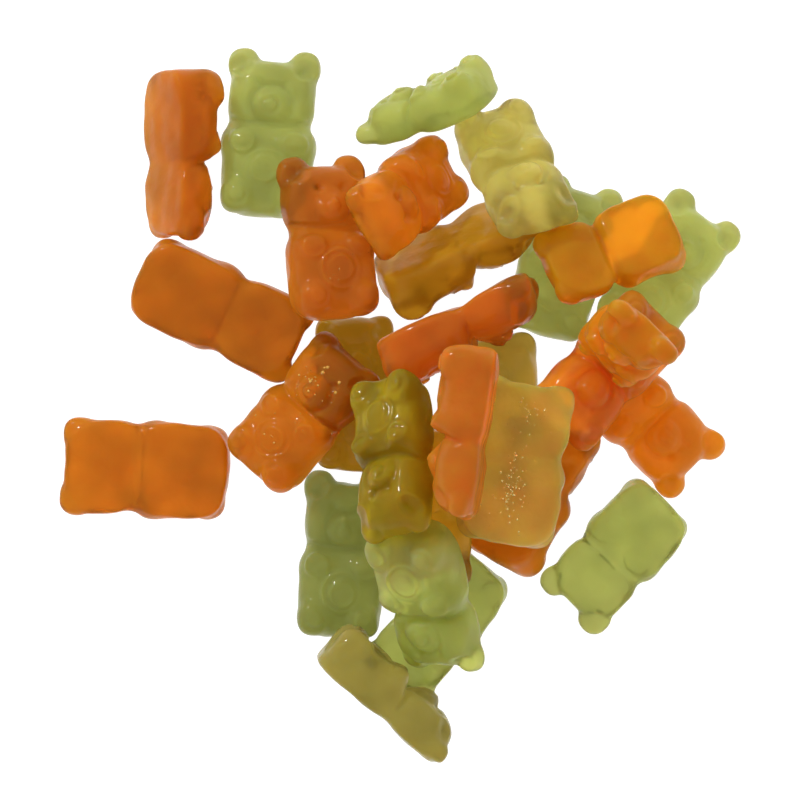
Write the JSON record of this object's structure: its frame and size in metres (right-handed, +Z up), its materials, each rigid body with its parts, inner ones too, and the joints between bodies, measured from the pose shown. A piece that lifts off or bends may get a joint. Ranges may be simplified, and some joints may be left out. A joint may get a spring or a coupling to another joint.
{
  "type": "heap of gummy bears",
  "caption": "Loose heap of small see-through fruit gummy bears in orange, green, yellow and amber, lying as tipped out on a table.",
  "frame": {"origin": "on the table the heap lies on, under the middle of its outline", "axes": "+Z up from the table; +X to the right and +Y away, seen from above"},
  "size_m": [0.0856, 0.089, 0.0333],
  "materials": {
    "orange": "satin, see-through jelly",
    "red_orange": "satin, see-through jelly",
    "green": "satin, see-through jelly",
    "yellow": "satin, see-through jelly",
    "amber": "satin, see-through jelly"
  },
  "bodies": {
    "root": {"bear_top_left_green": "green", "bear_left_orange": "orange", "bear_far_left_orange": "orange", "bear_low_right_green": "green", "bear_low_left_green": "green", "bear_bottom_green": "green", "bear_right_under_green": "green", "bear_right_green": "green", "bear_middle_under_green": "green", "bear_low_orange": "orange", "bear_middle_amber": "amber", "bear_upper_amber": "amber", "bear_bottom_yellow": "yellow", "bear_low_middle_amber": "amber", "bear_bottom_top_green": "green", "bear_right_orange": "orange", "bear_right_red": "red_orange", "bear_top_left_orange": "orange", "bear_top_orange": "red_orange", "bear_top_yellow": "yellow", "bear_top_middle_orange": "orange", "bear_right_top_orange": "orange", "bear_middle_red": "red_orange", "bear_left_top_orange": "orange", "bear_middle_green": "yellow", "bear_low_right_yellow": "yellow", "bear_middle_orange": "red_orange", "bear_top_green": "green", "bear_upright_orange": "orange"}
  },
  "joints": []
}
